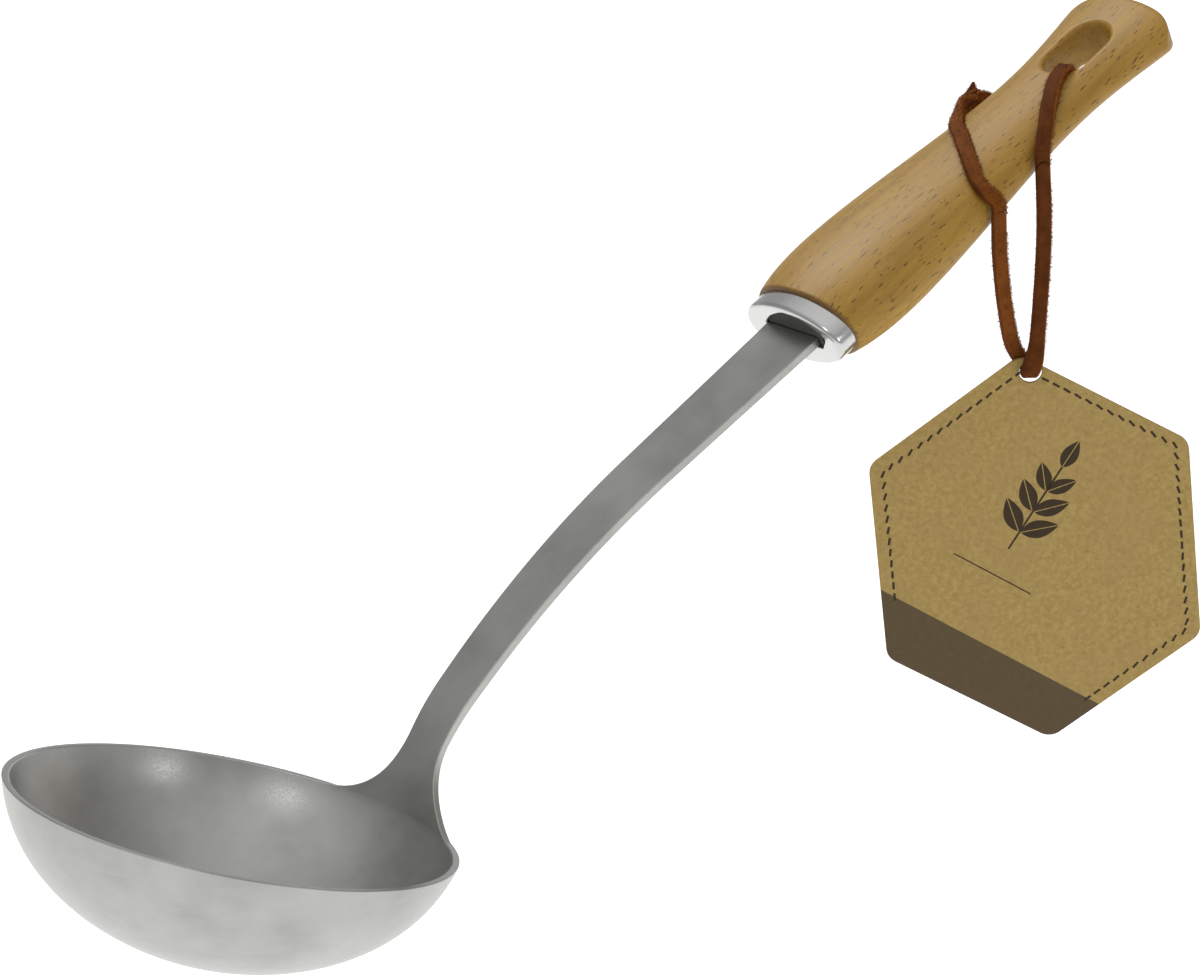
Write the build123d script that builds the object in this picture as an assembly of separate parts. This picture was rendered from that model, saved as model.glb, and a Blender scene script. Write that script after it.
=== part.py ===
from build123d import *
import math
import os

# A soup ladle: one stainless pressing for bowl, arm and tang, an oval
# polished ferrule, a beech handle with a hanging slot, a leather lace
# and a card tag. Lengths are millimetres, angles are degrees.
# The ladle is drawn with its rim level, then tipped to the way it is held:
# +X runs from the bowl to the handle, +Z is up, the XZ plane halves the ladle.

# Way the ladle is held
rim_tip_angle = 22.3          # the far lip stands higher than the arm side
grip_distance = 45.0          # from the ferrule joint to the middle of the grip

# Bowl
bowl_radius = 45.0            # outside of the rim
bowl_depth = 29.3             # rim plane to the outside of the bottom
rim_wall_angle = 76.2         # slope of the wall at the rim
bottom_reach_share = 0.33     # how far the bottom holds its level, of the radius
wall_reach_share = 0.774      # how far the wall holds its slope, of the depth
bowl_wall_thickness = 1.5

# Arm
arm_thickness = 2.0
neck_start_slope = 92.0       # the arm leaves the rim upright
neck_bend_radius = 46.7
neck_bend_slope = 58.2        # slope where the neck bend ends
neck_length = 4.0             # straight stretch from the neck bend to the bow
bow_radius = 220.7
handle_slope = 43.3           # slope of the upper arm and the handle
shank_length = 46.0           # straight upper arm, up to the ferrule's front
arm_root_width = 10.3
arm_middle_width = 12.6
arm_end_width = 15.4
root_fillet_radius = 16.0     # flare where the arm runs out into the rim
root_fillet_depth = 0.3       # the flare meets the rim at a shallow angle
band_half_width = 21.0        # blank that the arm's outline is cut from
flat_crown_share = 0.0005     # crown left in the flat arm, of its half width
hollow_fade_exponent = 1.5    # how fast the hollow of the bowl's wall fades up the neck
neck_section_count = 9
arm_section_count = 9

# Ferrule
ferrule_half_width = 14.2
ferrule_half_thickness = 7.35
ferrule_length = 4.8
ferrule_edge_radius = 0.9
recess_depth = 0.8            # from the ferrule's front to the bed round the arm
opening_half_width = 8.8
opening_half_height = 5.3
opening_edge_bevel = 0.3

# Tang and the bed that holds it
tang_width = 9.0
tang_length = 62.0
bed_gap = 0.6                 # resin on each side of the tang
bed_end_length = 2.0          # resin past the end of the tang

# Handle: stations along it, with the half width and half thickness at each,
# as shares of its length and of the palm swell's half width and half thickness
handle_length = 112.2
palm_half_width = 16.8
palm_half_thickness = 9.1
station_shares = [0.0, 0.145, 0.331, 0.538, 0.724, 0.889, 1.055]
half_width_shares = [0.853, 1.0, 0.935, 0.782, 0.712, 0.829, 0.900]
half_thickness_shares = [0.901, 1.0, 0.868, 0.681, 0.593, 0.604, 0.582]
section_exponent = 2.2        # 2 is an ellipse, more is squarer
section_point_count = 16
end_crown_radius = 42.0       # plan curve of the handle's end
end_corner_radius = 8.5
end_edge_radius = 1.8
front_edge_radius = 0.7

# Hanging slot
slot_end_margin = 10.2        # wood between the slot and the handle's end
slot_length = 18.0
slot_width = 10.4
slot_edge_radius = 1.2

# Lace, where it is round enough to be drawn as a tube
lace_diameter = 2.4
pivot_ball_diameter = 2.6     # round ends of the hanging loop, where it swings
fillet_share = 0.45           # part of the shorter run that an arc may take

# Strand from the handle's near side up over the face, down through the slot,
# and along the back to the knot on the far side
strap_route = [
    (15.1, -14.9, 6.45),
    (15.4, -14.8, 9.1),
    (17.0, -12.7, 11.4),
    (19.4, -10.4, 13.4),
    (22.3, -8.4, 15.3),
    (25.8, -6.7, 17.1),
    (29.4, -5.1, 18.8),
    (32.4, -3.7, 20.3),
    (35.7, -1.9, 20.9),
    (37.5, -0.6, 17.0),
    (39.2, 0.4, 12.3),
    (40.3, 2.0, 7.9),
    (37.7, 5.0, 6.6),
    (34.4, 8.2, 6.3),
    (31.5, 11.2, 7.2),
]

# Strand from the knot over the handle's face and down to its near side
over_route = [
    (25.0, 16.6, 11.9),
    (21.6, 15.6, 13.3),
    (18.3, 12.6, 13.2),
    (15.0, 9.2, 12.8),
    (11.8, 5.9, 12.7),
    (8.9, 2.6, 12.1),
    (6.2, -0.8, 11.4),
    (3.6, -4.4, 10.4),
    (1.4, -8.2, 9.3),
    (-0.3, -12.0, 7.6),
    (-1.0, -15.5, 4.9),
    (-0.8, -17.0, 2.0),
    (-0.5, -16.9, 0.35),
]

# Hanging loop: down behind the tag, through its hole, and up in front
drop_route = [
    (-0.5, -16.85, -1.3),
    (-0.2, -16.6, -7.0),
    (0.8, -16.2, -14.0),
    (2.3, -15.3, -21.0),
    (4.3, -14.0, -27.4),
    (6.6, -12.7, -32.4),
    (8.8, -12.2, -36.0),
    (10.83, -13.81, -39.2),
    (7.37, -17.19, -39.2),
    (8.3, -17.7, -34.6),
    (9.5, -17.2, -30.2),
    (11.4, -16.4, -24.0),
    (13.1, -15.6, -16.6),
    (14.3, -15.2, -8.6),
    (14.95, -15.0, -1.4),
    (15.15, -14.9, 4.8),
]

# Knot
knot_place = (28.4, 18.5, 10.8)
knot_length = 13.0
knot_thickness = 8.0
knot_along_shares = [-1.0, -0.8, -0.45, 0.0, 0.45, 0.8, 1.0]  # of its half length
knot_rise_shares = [0.45, 0.74, 0.94, 1.0, 0.94, 0.74, 0.45]  # of its half thickness
knot_turn = -30.0             # about the vertical
knot_pitch = 25.0
knot_end_shares = [0.92, 0.6]  # how far the loose ends lie along the knot
knot_end_length = 4.5
knot_end_diameter = 2.6

# Tag
tag_half_width = 35.2
tag_half_height = 47.1
tag_corner_share = 0.503      # height of the side corners, of the half height
tag_corner_radius = 4.0
tag_thickness = 0.8
tag_hole_diameter = 5.0
tag_hole_height = 43.0        # from the tag's middle to the hole
tag_hole_offset = 1.9         # the hole is punched a little off the middle
tag_pivot = (9.1, -15.5, -39.2)
tag_facing = 224.8            # compass direction of the tag's face, from +X
tag_seat_gap = 0.3            # under the top of the hole, over the lace

# Cutting tools run past the faces that they cut
overrun = 10.0


def save(shape, node):
    export_step(shape, f"parts/{node}.step")


# Centre line of the arm in its own plane: x is forward, y is up
slope = math.radians(rim_wall_angle)
horizontal_wall = bowl_wall_thickness / math.sin(slope)
arm_start = (bowl_radius - horizontal_wall / 2, 0)
upward = Vector(1, 0).rotate(Axis.Z, neck_start_slope)
neck_bend = JernArc(arm_start, upward, neck_bend_radius, neck_bend_slope - neck_start_slope)
neck_line = Line(neck_bend @ 1, neck_bend @ 1 + (neck_bend % 1) * neck_length)
arm_bow = JernArc(neck_line @ 1, neck_line % 1, bow_radius, handle_slope - neck_bend_slope)
shank_line = Line(arm_bow @ 1, arm_bow @ 1 + (arm_bow % 1) * shank_length)
ferrule_front = shank_line @ 1
handle_direction = shank_line % 1
joint_point = ferrule_front + handle_direction * ferrule_length
grip_point = joint_point + handle_direction * grip_distance


def upright(flat_point):
    return Vector(flat_point.X, 0, flat_point.Y)


# Frame of the handle: z runs along it, x is across the ladle, y is the face's normal
handle_axis = upright(handle_direction)
handle_frame = Plane(origin=upright(joint_point), x_dir=(0, 1, 0), z_dir=handle_axis)
ferrule_frame = handle_frame.offset(-ferrule_length)
handle_line = Axis(handle_frame.origin, handle_axis)

# Plan of the handle, seen from its face: x is across it, y runs along it
plan_frame = Plane(origin=handle_frame.origin, x_dir=handle_frame.x_dir, z_dir=-handle_frame.y_dir)
plan_depth = palm_half_thickness + overrun


def as_held(shape):
    """Tip the ladle as it is held and put the middle of the grip at the origin."""
    middle = upright(grip_point)
    return Rot(0, rim_tip_angle, 0) * (Pos(-middle.X, -middle.Y, -middle.Z) * shape)


def bowl_skin(inset):
    """Solid under one skin of the bowl, up to the rim plane."""
    radius = bowl_radius - inset / math.sin(slope)
    depth = bowl_depth - inset
    reach = depth * wall_reach_share
    bottom = (0, -depth)
    level = (radius * bottom_reach_share, -depth)
    wall = (radius - reach * math.cos(slope), -reach * math.sin(slope))
    rim = (radius, 0)
    profile = Bezier(bottom, level, wall, rim)
    lip = Line(rim, (0, 0))
    axis_line = Line((0, 0), bottom)
    half = make_face(Curve() + [profile, lip, axis_line])
    return revolve(Plane.XZ * half, Axis.Z)


def bowl():
    return bowl_skin(0) - bowl_skin(bowl_wall_thickness)


def sheet_section(plane, thickness, hollow_radius):
    """Closed outline across the sheet; its back has the given radius, or is flat when that is 0."""
    half = band_half_width
    if hollow_radius == 0:
        hollow_radius = half / (2 * flat_crown_share)
    back_rise = hollow_radius - math.sqrt(hollow_radius**2 - half**2)
    front_radius = hollow_radius - thickness
    front_rise = front_radius - math.sqrt(front_radius**2 - half**2)
    low = -thickness / 2
    high = thickness / 2
    back = ThreePointArc((-half, low + back_rise), (0, low), (half, low + back_rise))
    right = Line((half, low + back_rise), (half, high + front_rise))
    front = ThreePointArc((half, high + front_rise), (0, high), (-half, high + front_rise))
    left = Line((-half, high + front_rise), (-half, low + back_rise))
    return plane * make_face(Curve() + [back, right, front, left])


def station(line, place):
    """Plane across the arm: x is across the ladle, y is the normal of the front."""
    return Plane(origin=upright(line @ place), x_dir=(0, 1, 0), z_dir=upright(line % place))


def arm_band():
    """The sheet of the arm before its outline is cut: hollow as the bowl at the rim, flat above."""
    level = Plane(origin=upright(neck_bend @ 0), x_dir=(0, 1, 0), z_dir=(0, 0, 1))
    sections = [sheet_section(level, horizontal_wall, bowl_radius)]
    for number in range(1, neck_section_count):
        place = number / neck_section_count
        thickness = bowl_wall_thickness + (arm_thickness - bowl_wall_thickness) * place
        hollow_radius = bowl_radius / (1 - place) ** hollow_fade_exponent
        sections.append(sheet_section(station(neck_bend, place), thickness, hollow_radius))
    neck = loft(sections + [sheet_section(station(neck_line, 0), arm_thickness, 0)])
    link = extrude(sheet_section(station(neck_line, 0), arm_thickness, 0), neck_length)
    sections = []
    for number in range(arm_section_count):
        sections.append(sheet_section(station(arm_bow, number / arm_section_count), arm_thickness, 0))
    sections.append(sheet_section(station(shank_line, 0), arm_thickness, 0))
    arm = loft(sections)
    shank = extrude(sheet_section(station(shank_line, 0), arm_thickness, 0), shank_length + ferrule_length)
    return neck + link + arm + shank


def arm_outline():
    """Outline of the arm seen from the front, with the flare at its root."""
    root = arm_root_width / 2
    end_height = upright(joint_point).Z
    rise = root_fillet_radius - root_fillet_depth
    reach = root + root_fillet_radius - math.sqrt(root_fillet_radius**2 - rise**2)
    bend_angle = math.degrees(math.asin(rise / root_fillet_radius))
    flare = CenterArc((root + root_fillet_radius, rise), root_fillet_radius, 180, bend_angle)
    middle_point = (arm_middle_width / 2, (rise + end_height) / 2)
    side = ThreePointArc((root, rise), middle_point, (arm_end_width / 2, end_height))
    top = Line((arm_end_width / 2, end_height), (arm_end_width / 2, end_height + overrun))
    cap = Line(top @ 1, (0, end_height + overrun))
    foot = Line((reach, 0), (reach, -overrun))
    base = Line((reach, -overrun), (0, -overrun))
    middle = Line((0, -overrun), (0, end_height + overrun))
    half = make_face(Curve() + [flare, side, top, cap, middle, base, foot])
    whole = half + mirror(half, Plane.YZ)
    return extrude(Plane.YZ * whole, 2 * upright(joint_point).X)


def pressing():
    """Bowl, arm and tang in one sheet."""
    arm = arm_band() & arm_outline()
    tang = extrude(handle_frame * Rectangle(tang_width, arm_thickness), tang_length)
    return bowl() + arm + tang


def oval(half_width, half_thickness):
    """Outline of the handle across its length, as a smooth closed curve."""
    points = []
    places = [number / section_point_count for number in range(section_point_count + 1)]
    for place in places[:-1]:
        turn = 2 * math.pi * place
        across = math.copysign(abs(math.cos(turn)) ** (2 / section_exponent), math.cos(turn))
        through = math.copysign(abs(math.sin(turn)) ** (2 / section_exponent), math.sin(turn))
        points.append(Vector(half_width * across, half_thickness * through))
    return make_face(Edge.make_spline(points, periodic=True, parameters=places))


def opening():
    return Ellipse(opening_half_width, opening_half_height)


def ferrule():
    body = extrude(ferrule_frame * Ellipse(ferrule_half_width, ferrule_half_thickness), ferrule_length)
    front_edge = body.faces().sort_by(handle_line)[0].edges()
    body = fillet(front_edge, ferrule_edge_radius)
    body = body - extrude(ferrule_frame * opening(), ferrule_length)
    front_face = body.faces().sort_by(handle_line)[0]
    return chamfer(front_face.inner_wires()[0].edges(), opening_edge_bevel)


def tang_socket():
    width = tang_width + 2 * bed_gap
    height = arm_thickness + 2 * bed_gap
    return extrude(handle_frame * Rectangle(width, height), tang_length + bed_end_length)


def tang_bed(metal):
    """Dark resin that fills the ferrule behind its recess and the socket round the tang."""
    pad_frame = ferrule_frame.offset(recess_depth)
    pad = extrude(pad_frame * opening(), ferrule_length - recess_depth)
    return (pad + tang_socket()) - metal


def handle_plan():
    """Plan outline of the handle, with its crowned end and round corners."""
    half = palm_half_width + overrun
    corner = palm_half_width * half_width_shares[-1]
    fall = end_crown_radius - math.sqrt(end_crown_radius**2 - corner**2)
    top = handle_length
    crown = ThreePointArc((-corner, top - fall), (0, top), (corner, top - fall))
    right = Line((corner, top - fall), (corner, top - fall - 2 * end_corner_radius))
    step = Line(right @ 1, (half, (right @ 1).Y))
    down = Line(step @ 1, (half, -overrun))
    base = Line((half, -overrun), (-half, -overrun))
    up = Line((-half, -overrun), (-half, (right @ 1).Y))
    step_left = Line(up @ 1, (-corner, (right @ 1).Y))
    left = Line(step_left @ 1, (-corner, top - fall))
    face = make_face(Curve() + [crown, right, step, down, base, up, step_left, left])
    corners = face.vertices().sort_by(Axis.Y)[-2:]
    return fillet(corners, end_corner_radius)


def handle_body():
    """Turned and flattened beech blank, cut to its plan at the free end."""
    sections = []
    for along, width, thickness in zip(station_shares, half_width_shares, half_thickness_shares):
        section = oval(palm_half_width * width, palm_half_thickness * thickness)
        sections.append(handle_frame.offset(handle_length * along) * section)
    body = loft(sections)
    front_edge = body.faces().sort_by(handle_line)[0].edges()
    body = fillet(front_edge, front_edge_radius)
    body = body & extrude(plan_frame * handle_plan(), plan_depth, both=True)
    end_face = body.faces().sort_by(handle_line)[-1]
    return fillet(end_face.edges(), end_edge_radius)


def handle():
    slot_middle = handle_length - slot_end_margin - slot_length / 2
    slot = plan_frame * Pos(0, slot_middle) * SlotOverall(slot_length, slot_width, rotation=90)
    slot_cutter = extrude(slot, plan_depth, both=True)
    cut = handle_body() - slot_cutter
    reach = slot_length / 2 + slot_edge_radius
    middle = handle_frame.offset(slot_middle).origin
    mouth = [edge for edge in cut.edges().filter_by(GeomType.BSPLINE) if (edge.center() - middle).length < reach]
    return fillet(mouth, slot_edge_radius) - tang_socket()


def lace(route, name):
    """Round tube along straight runs joined by tangent arcs."""
    points = [Vector(*point) for point in route]
    radii = []
    for before, here, after in zip(points, points[1:], points[2:]):
        turn = (here - before).get_angle(after - here)
        shorter = min((here - before).length, (after - here).length)
        radii.append(fillet_share * shorter / math.tan(math.radians(turn / 2)))
    path = FilletPolyline(*points, radius=radii)
    tube = sweep(Plane(origin=path @ 0, z_dir=path % 0) * Circle(lace_diameter / 2), path)
    expected = math.pi * (lace_diameter / 2) ** 2 * path.length
    print(name, "length", round(path.length, 1), "volume share", round(tube.volume / expected, 4))
    print(name, "radii", [round(radius, 1) for radius in radii])
    return tube


def hanging_loop():
    """The loop that carries the tag, with a round end at each place where it swings."""
    loop = lace(drop_route, "lace_drop")
    for end in [drop_route[0], drop_route[-1]]:
        loop = loop + Pos(*end) * Sphere(pivot_ball_diameter / 2)
    return loop


def lace_knot(strands):
    """Outer shape of the tightened knot with its two loose ends, closed round its strands."""
    half = knot_length / 2
    rise = knot_thickness / 2
    profile = [(-half, 0)]
    for along, share in zip(knot_along_shares, knot_rise_shares):
        profile.append((half * along, rise * share))
    profile.append((half, 0))
    body = revolve(make_face(Polyline(*profile, close=True)), Axis.X)
    for share in knot_end_shares:
        base = Plane(origin=(half * share / 2, 0, 0), z_dir=(share, 0, 1))
        body = body + extrude(base * Circle(knot_end_diameter / 2), rise + knot_end_length * share)
    body = Pos(*knot_place) * Rot(0, 0, knot_turn) * Rot(0, knot_pitch, 0) * body
    for strand in strands:
        body = body - strand
    return body


def tag():
    """Six-sided card that hangs from its hole, with its weight straight below the lace."""
    side = tag_half_height * tag_corner_share
    corners = [(0, tag_half_height), (tag_half_width, side), (tag_half_width, -side)]
    corners += [(0, -tag_half_height), (-tag_half_width, -side), (-tag_half_width, side)]
    card = make_face(Polyline(*corners, close=True))
    card = fillet(card.vertices(), tag_corner_radius)
    card = card - Pos(tag_hole_offset, tag_hole_height) * Circle(tag_hole_diameter / 2)
    card = Pos(-tag_hole_offset, -tag_hole_height) * card
    lean = math.degrees(math.atan2(tag_hole_offset, tag_hole_height))
    card = Rot(0, 0, lean) * card
    drop = tag_hole_diameter / 2 - tag_seat_gap - lace_diameter / 2
    outward = Vector(1, 0, 0).rotate(Axis.Z, tag_facing)
    across = Vector(0, 1, 0).rotate(Axis.Z, tag_facing)
    facing = Plane(origin=tag_pivot, x_dir=across, z_dir=outward)
    return extrude(facing * Pos(0, -drop) * card, tag_thickness / 2, both=True)


os.makedirs("parts", exist_ok=True)
metal = pressing()
save(as_held(metal), "bowl_and_arm")
save(as_held(ferrule()), "ferrule")
save(as_held(tang_bed(metal)), "tang_bed")
save(as_held(handle()), "handle")
strap = lace(strap_route, "lace_strap")
over = lace(over_route, "lace_over")
save(strap, "lace_strap")
save(over, "lace_over")
save(hanging_loop(), "lace_drop")
save(lace_knot([strap, over]), "lace_knot")
save(tag(), "tag")
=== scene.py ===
# %% [markdown]
# # A soup ladle
# The ladle is one steel pressing with a beech handle, an oval ferrule, a leather lace
# and a card tag. Its construction is already solid, in a fixed frame. This notebook
# dresses it: it makes the fine surfaces and the finishes, and sets the camera and light.
# Everything is in metres and in the frame of the construction.

# %% Load the frame
import math
import bpy
import bmesh
from mathutils import Matrix, Vector


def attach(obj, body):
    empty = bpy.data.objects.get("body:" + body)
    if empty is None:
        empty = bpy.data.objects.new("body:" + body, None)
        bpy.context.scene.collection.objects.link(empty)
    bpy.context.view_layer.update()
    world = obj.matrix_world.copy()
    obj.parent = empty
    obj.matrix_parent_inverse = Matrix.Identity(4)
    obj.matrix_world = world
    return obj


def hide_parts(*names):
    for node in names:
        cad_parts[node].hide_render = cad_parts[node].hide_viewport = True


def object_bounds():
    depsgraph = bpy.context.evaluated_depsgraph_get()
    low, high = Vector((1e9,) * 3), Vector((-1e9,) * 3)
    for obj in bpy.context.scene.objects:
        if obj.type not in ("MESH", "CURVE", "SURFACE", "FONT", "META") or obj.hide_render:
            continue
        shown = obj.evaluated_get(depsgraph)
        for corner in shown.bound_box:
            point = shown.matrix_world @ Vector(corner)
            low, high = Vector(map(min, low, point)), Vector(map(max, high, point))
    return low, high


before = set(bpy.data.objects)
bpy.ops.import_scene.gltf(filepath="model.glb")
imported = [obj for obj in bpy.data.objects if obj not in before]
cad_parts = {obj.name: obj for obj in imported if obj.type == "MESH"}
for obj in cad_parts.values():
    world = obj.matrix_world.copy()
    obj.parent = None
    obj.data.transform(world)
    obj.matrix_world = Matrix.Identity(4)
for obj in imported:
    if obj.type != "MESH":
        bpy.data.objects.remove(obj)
cad_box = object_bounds()

# %% [markdown]
# ## The camera
# The photograph was taken from the left of the bowl, a little above the ladle, with a
# long lens. The place and the three directions of the camera were found by fitting the
# ladle's outline, so the render and the photograph can be compared point by point. The
# plain view transform keeps white paper white, as in a product photograph.

# %% Set the camera
camera_place = Vector((-0.56776, -0.56434, 0.28822))
camera_right = Vector((0.74856522, -0.65913277, -0.07207014))
camera_up = Vector((0.31662903, 0.259842, 0.91226542))
camera_forward = Vector((0.58257718, 0.70570966, -0.40320925))
focal_share = 3917.26 / 1200
principal_share = (1.18 / 1200, 1.06 / 1200)

camera_data = bpy.data.cameras.new("camera")
camera_data.sensor_width = 36.0
camera_data.lens = camera_data.sensor_width * focal_share
camera_data.shift_x = -principal_share[0]
camera_data.shift_y = principal_share[1]
camera = bpy.data.objects.new("camera", camera_data)
turn = Matrix((camera_right, camera_up, -camera_forward)).transposed().to_4x4()
camera.matrix_world = Matrix.Translation(camera_place) @ turn
bpy.context.scene.collection.objects.link(camera)
bpy.context.scene.camera = camera
bpy.context.scene.view_settings.view_transform = "Standard"
print("lens", round(camera_data.lens, 2), "mm")

# %% [markdown]
# ## Helpers for nodes
# Every finish is a small tree of shader nodes. One helper adds a node: its options are
# given by name, and its inputs in a dictionary, where a socket is joined and a number
# or a colour is set. The others build on it. Patterns read the object's own
# coordinates, in metres, so they stay on the piece from every side.

# %% Add and join nodes
def put(tree, kind, inputs=None, **options):
    """Add one node, set its options, and join or set its inputs."""
    made = tree.nodes.new(kind)
    for name, value in options.items():
        setattr(made, name, value)
    for name, value in (inputs or {}).items():
        if isinstance(value, bpy.types.NodeSocket):
            tree.links.new(value, made.inputs[name])
        else:
            made.inputs[name].default_value = value
    return made


def out(tree, kind, inputs=None, **options):
    """Add one node and return its first output."""
    return put(tree, kind, inputs, **options).outputs[0]


def maths(tree, operation, first, second):
    return out(tree, "ShaderNodeMath", {0: first, 1: second}, operation=operation)


def dot(tree, first, second):
    made = put(tree, "ShaderNodeVectorMath", {0: first, 1: second}, operation="DOT_PRODUCT")
    return made.outputs["Value"]


def spread(tree, value, low, high, new_low, new_high):
    """Map a value from one range to another."""
    return out(tree, "ShaderNodeMapRange", {"Value": value, "From Min": low, "From Max": high,
                                            "To Min": new_low, "To Max": new_high})


# %% [markdown]
# A finish is mixed from colours. `mixed` blends two by a factor, and `toned` blends them
# where a pattern rises from one value to another. A colour can be a socket or three
# numbers.

# %% Colours, patterns and finishes
def new_finish(name, **values):
    """A finish with a Principled shader whose plain values sit on its own sockets."""
    finish = bpy.data.materials.new(name)
    finish.use_nodes = True
    shader = finish.node_tree.nodes["Principled BSDF"]
    for socket, value in values.items():
        shader.inputs[socket.replace("_", " ")].default_value = value
    return finish, finish.node_tree, shader


def feed(shader, socket, value):
    shader.id_data.links.new(value, shader.inputs[socket])


def mixed(tree, factor, *colours):
    first, second = [colour if isinstance(colour, bpy.types.NodeSocket) else (*colour, 1.0)
                     for colour in colours]
    return put(tree, "ShaderNodeMix", {0: factor, 6: first, 7: second}, data_type="RGBA").outputs[2]


def toned(tree, pattern, low, high, first, second, most=1.0):
    return mixed(tree, spread(tree, pattern, low, high, 0.0, most), first, second)


def ramp(tree, factor, stops):
    """A ramp of greys with the given (place, level) stops."""
    made = put(tree, "ShaderNodeValToRGB", {"Fac": factor})
    while len(made.color_ramp.elements) < len(stops):
        made.color_ramp.elements.new(0.5)
    for element, (place, level) in zip(made.color_ramp.elements, stops):
        element.position = place
        element.color = (level, level, level, 1.0)
    return made.outputs["Color"]


def noise(tree, vector, scale, detail=2.0, roughness=0.5):
    return out(tree, "ShaderNodeTexNoise", {"Vector": vector, "Scale": scale, "Detail": detail,
                                            "Roughness": roughness})


def own_place(tree):
    return put(tree, "ShaderNodeTexCoord").outputs["Object"]


def turned(tree, vector, angles=(0, 0, 0), scale=(1, 1, 1)):
    """Turn the pattern's coordinates, then stretch them."""
    first = out(tree, "ShaderNodeMapping", {"Vector": vector, "Rotation": angles})
    return out(tree, "ShaderNodeMapping", {"Vector": first, "Scale": scale})


def bump(tree, shader, height, strength, distance):
    feed(shader, "Normal", out(tree, "ShaderNodeBump", {"Height": height, "Strength": strength,
                                                        "Distance": distance}))


# %% [markdown]
# ## Helpers for meshes
# Most pieces are rows of points joined by faces. A finished shape is turned outward and
# made a mesh. It can be shaded smooth up to an angle. Each piece then rides on a body
# of the frame, so that it moves with the joints.

# %% Rows, meshes and pieces
def join_rows(shape, lower, upper, closed=True):
    """Faces between two rows of points, which close to rings unless told otherwise."""
    count = len(lower)
    return [shape.faces.new((lower[step], lower[(step + 1) % count], upper[(step + 1) % count], upper[step]))
            for step in range(count if closed else count - 1)]


def plain_mesh(name, shape, smooth_up_to=None):
    bmesh.ops.recalc_face_normals(shape, faces=shape.faces)
    if smooth_up_to is not None:
        for face in shape.faces:
            face.smooth = True
        for edge in shape.edges:
            edge.smooth = len(edge.link_faces) == 2 and edge.calc_face_angle() < smooth_up_to
    mesh = bpy.data.meshes.new(name)
    shape.to_mesh(mesh)
    shape.free()
    return mesh


def add_piece(name, mesh, body, finish=None):
    """Put a mesh in the scene, on its body, with its finish."""
    piece = bpy.data.objects.new(name, mesh)
    bpy.context.scene.collection.objects.link(piece)
    if finish is not None:
        mesh.materials.append(finish)
    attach(piece, body)
    return piece


def finish_node(node, finish):
    """Give a piece of the construction its finish."""
    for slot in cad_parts[node].material_slots:
        slot.material = finish
    print(node, "wears", finish.name)


# %% [markdown]
# ## Leather
# The lace is cut from a split hide. One side is smooth and dark, the other is brushed
# suede, redder and lighter. One edge is freshly cut and shows raw fibre, the other is
# as dark as the smooth side. The strip's own UV map says where a point lies: U goes
# once round the section, from the middle of the raw edge, and V runs along. So one
# finish can colour the sides and the edges differently.

# %% The leather finishes
edge_share = 0.12             # part of the way round that half of a cut edge takes
suede_from = 0.61             # place on the way round where the suede begins


def leather_finish():
    finish, tree, shader = new_finish("lace_leather", Specular_IOR_Level=0.08)
    around = out(tree, "ShaderNodeSeparateXYZ", {"Vector": out(tree, "ShaderNodeUVMap", uv_map="along")})
    place = own_place(tree)
    blotches = noise(tree, place, 260.0, 4.0, 0.6)
    fibres = noise(tree, place, 2600.0, 3.0, 0.7)
    grain = toned(tree, blotches, 0.3, 0.7, (0.070, 0.018, 0.003), (0.128, 0.036, 0.006))
    suede = toned(tree, fibres, 0.35, 0.65, (0.075, 0.017, 0.003), (0.185, 0.052, 0.006))
    suede = toned(tree, blotches, 0.35, 0.75, suede, (0.240, 0.078, 0.011), 0.6)
    raw = mixed(tree, fibres, (0.16, 0.042, 0.006), (0.38, 0.125, 0.024))
    side = ramp(tree, around, [(0.0, 0), (suede_from - 0.01, 0), (suede_from + 0.01, 1)])
    half_edge = edge_share / 2
    cut = ramp(tree, around, [(half_edge, 1), (edge_share, 0), (1 - edge_share, 0), (1 - half_edge, 1)])
    feed(shader, "Base Color", mixed(tree, cut, mixed(tree, side, grain, suede), raw))
    feed(shader, "Roughness", spread(tree, fibres, 0.3, 0.7, 0.5, 0.9))
    bump(tree, shader, fibres, 0.5, 0.00025)
    return finish


def fibre_finish():
    finish, tree, shader = new_finish("loose_fibre", Roughness=0.8, Specular_IOR_Level=0.15)
    tone = noise(tree, own_place(tree), 900.0)
    feed(shader, "Base Color", mixed(tree, tone, (0.09, 0.022, 0.004), (0.26, 0.078, 0.014)))
    return finish


leather = leather_finish()
loose_fibre = fibre_finish()
print("finishes", leather.name, loose_fibre.name)

# %% [markdown]
# ## Routes of the lace
# The lace is one flat strip, 3.4 mm wide and 1.6 mm thick. It leaves the knot behind the
# handle, crosses the face, hangs in a loop that carries the tag, climbs again, crosses
# the face and goes down through the slot. It is built in three stretches, because the
# loop swings: it turns about two points at the handle's near side. Each stretch is a
# NURBS curve. Its control points, in millimetres, were placed to lie on the wood as in
# the photograph. A flat strip can twist, so each control point also has the
# direction that the strip's smooth side faces.

# %% Control points
lace_width = 0.0034
lace_thickness = 0.0016


def millimetres(*route):
    return [Vector((x / 1000, y / 1000, z / 1000)) for x, y, z in route]


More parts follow.
